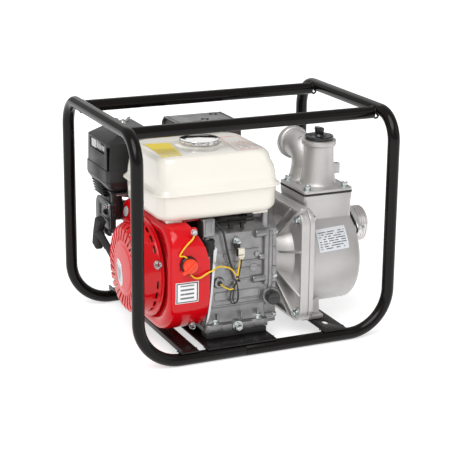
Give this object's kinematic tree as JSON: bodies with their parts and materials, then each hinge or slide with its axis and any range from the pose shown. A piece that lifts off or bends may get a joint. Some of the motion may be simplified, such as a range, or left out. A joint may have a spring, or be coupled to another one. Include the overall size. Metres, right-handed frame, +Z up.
{
  "type": "engine water pump",
  "caption": "Petrol engine water pump in a tube carrying frame, with recoil starter, fuel tank, self-priming pump casing and two hose ports.",
  "frame": {"origin": "bottom centre of the tube frame, on the plane that its rails rest on", "axes": "+X along the crankshaft from the recoil starter to the suction port, +Y to the muffler side, +Z up"},
  "size_m": [0.4914, 0.3694, 0.4073],
  "materials": {
    "frame_paint": "gloss black powder coat",
    "rubber": "matt",
    "casting": "die cast, lightly blasted",
    "steel": "zinc plated or ground",
    "iron": "as cast",
    "red_paint": "gloss red",
    "cream_paint": "gloss cream white",
    "chrome": "bright",
    "heat_paint": "satin heat resistant",
    "black_plastic": "fine grain",
    "foam": "open cell foam",
    "ceramic": "glazed",
    "wire": "yellow insulation",
    "rope": "braided cord"
  },
  "bodies": {
    "unit": {"end_hoop_engine": "frame_paint", "end_hoop_pump": "frame_paint", "top_rail_near": "frame_paint", "top_rail_far": "frame_paint", "front_cross_plate": "frame_paint", "engine_cross_plate": "frame_paint", "pump_cross_plate": "frame_paint", "engine_mount_near": "rubber", "engine_mount_far": "rubber", "outlet_gasket": "rubber", "suction_gasket": "rubber", "crankcase": "casting", "crankcase_side_cover": "casting", "cylinder_head": "casting", "carburettor": "casting", "pump_adapter": "casting", "pump_casing": "casting", "outlet_head": "casting", "suction_flange": "casting", "main_bearing_flywheel_side": "steel", "main_bearing_pump_side": "steel", "volute": "iron", "fan_shroud": "red_paint", "recoil_housing": "red_paint", "fuel_tank": "cream_paint", "muffler": "heat_paint", "muffler_guard": "heat_paint", "tank_bracket": "heat_paint", "air_cleaner_base": "black_plastic", "carburettor_guard": "black_plastic", "engine_switch_body": "black_plastic", "rocker_cover": "black_plastic", "ignition_coil": "black_plastic", "air_filter_element": "foam", "spark_plug": "ceramic", "switch_lead": "wire"},
    "rotor": {"crankshaft_flywheel_half": "steel", "crankshaft_pump_half": "steel", "flywheel": "cream_paint", "starter_cup": "steel", "impeller": "iron", "mechanical_seal": "ceramic"},
    "camshaft_body": {"camshaft": "steel"},
    "piston_and_rod": {"piston": "casting", "connecting_rod": "steel"},
    "reel": {"starter_reel": "black_plastic"},
    "starter_grip": {"starter_handle": "black_plastic", "starter_rope": "rope"},
    "fuel_cap_body": {"fuel_cap": "chrome"},
    "priming_plug_body": {"priming_plug": "black_plastic"},
    "oil_plug_body": {"oil_filler_plug": "black_plastic"},
    "drain_plug_body": {"pump_drain_plug": "black_plastic"},
    "cleaner_cover_body": {"air_cleaner_cover": "black_plastic"},
    "wing_nut_body": {"wing_nut": "steel"},
    "choke_body": {"choke_lever": "black_plastic"},
    "fuel_valve_body": {"fuel_valve_lever": "red_paint"},
    "throttle_body": {"throttle_lever": "red_paint"},
    "governor_body": {"governor_arm": "steel"},
    "switch_body": {"engine_switch_knob": "red_paint"},
    "flap_body": {"check_valve_flap": "rubber"}
  },
  "joints": [
    {"name": "crank_spin", "type": "hinge", "parent": "unit", "child": "rotor", "pos_m": [-0.03, -0.047, 0.14], "axis": [1, 0, 0], "continuous": true},
    {"name": "camshaft_spin", "type": "hinge", "parent": "unit", "child": "camshaft_body", "pos_m": [0, -0.07969, 0.09816], "axis": [1, 0, 0], "continuous": true},
    {"name": "piston_stroke", "type": "slide", "parent": "unit", "child": "piston_and_rod", "axis": [0, 0.9063, 0.4226], "range_m": [-0.045, 0]},
    {"name": "recoil_pull", "type": "slide", "parent": "unit", "child": "starter_grip", "axis": [0, 0.9455, 0.3256], "range_m": [0, 0.45]},
    {"name": "reel_spin", "type": "hinge", "parent": "unit", "child": "reel", "pos_m": [-0.2115, -0.047, 0.14], "axis": [1, 0, 0], "range_deg": [0, 760]},
    {"name": "fuel_cap_turn", "type": "hinge", "parent": "unit", "child": "fuel_cap_body", "pos_m": [-0.073, -0.047, 0.3483], "axis": [0, 0, 1], "range_deg": [0, 90]},
    {"name": "priming_plug_turn", "type": "hinge", "parent": "unit", "child": "priming_plug_body", "pos_m": [0.155, -0.052, 0.3243], "axis": [0, 0, 1], "range_deg": [0, 1080]},
    {"name": "oil_plug_turn", "type": "hinge", "parent": "unit", "child": "oil_plug_body", "pos_m": [0.0303, -0.1223, 0.082], "axis": [0, -1, 0], "range_deg": [0, 1080]},
    {"name": "drain_plug_turn", "type": "hinge", "parent": "unit", "child": "drain_plug_body", "pos_m": [0.2003, -0.055, 0.058], "axis": [1, 0, 0], "range_deg": [0, 1080]},
    {"name": "cleaner_cover_lift", "type": "slide", "parent": "unit", "child": "cleaner_cover_body", "axis": [0, 0, 1], "range_m": [0, 0.01]},
    {"name": "wing_nut_turn", "type": "hinge", "parent": "cleaner_cover_body", "child": "wing_nut_body", "pos_m": [-0.157, 0.103, 0.3548], "axis": [0, 0, 1], "range_deg": [0, 1080]},
    {"name": "choke_turn", "type": "hinge", "parent": "unit", "child": "choke_body", "pos_m": [-0.154, 0.115, 0.205], "axis": [0, 1, 0], "range_deg": [-45, 0]},
    {"name": "fuel_valve_turn", "type": "hinge", "parent": "unit", "child": "fuel_valve_body", "pos_m": [-0.13, 0.115, 0.163], "axis": [0, 1, 0], "range_deg": [-90, 0]},
    {"name": "throttle_turn", "type": "hinge", "parent": "unit", "child": "throttle_body", "pos_m": [-0.1005, 0.115, 0.215], "axis": [0, 1, 0], "range_deg": [-40, 0]},
    {"name": "governor_swing", "type": "hinge", "parent": "unit", "child": "governor_body", "pos_m": [-0.062, 0.0303, 0.082], "axis": [0, 1, 0], "range_deg": [-12, 12]},
    {"name": "switch_turn", "type": "hinge", "parent": "unit", "child": "switch_body", "pos_m": [-0.14, -0.1646, 0.1705], "axis": [0, -1, 0], "range_deg": [0, 60]},
    {"name": "check_valve_swing", "type": "hinge", "parent": "unit", "child": "flap_body", "pos_m": [0.2065, -0.05, 0.1877], "axis": [0, 1, 0], "range_deg": [0, 40]}
  ],
  "couplings": [
    {"joint": "camshaft_spin", "follows": "crank_spin", "ratio": -0.5},
    {"joint": "reel_spin", "follows": "recoil_pull", "rad_per_m": 29.412}
  ]
}
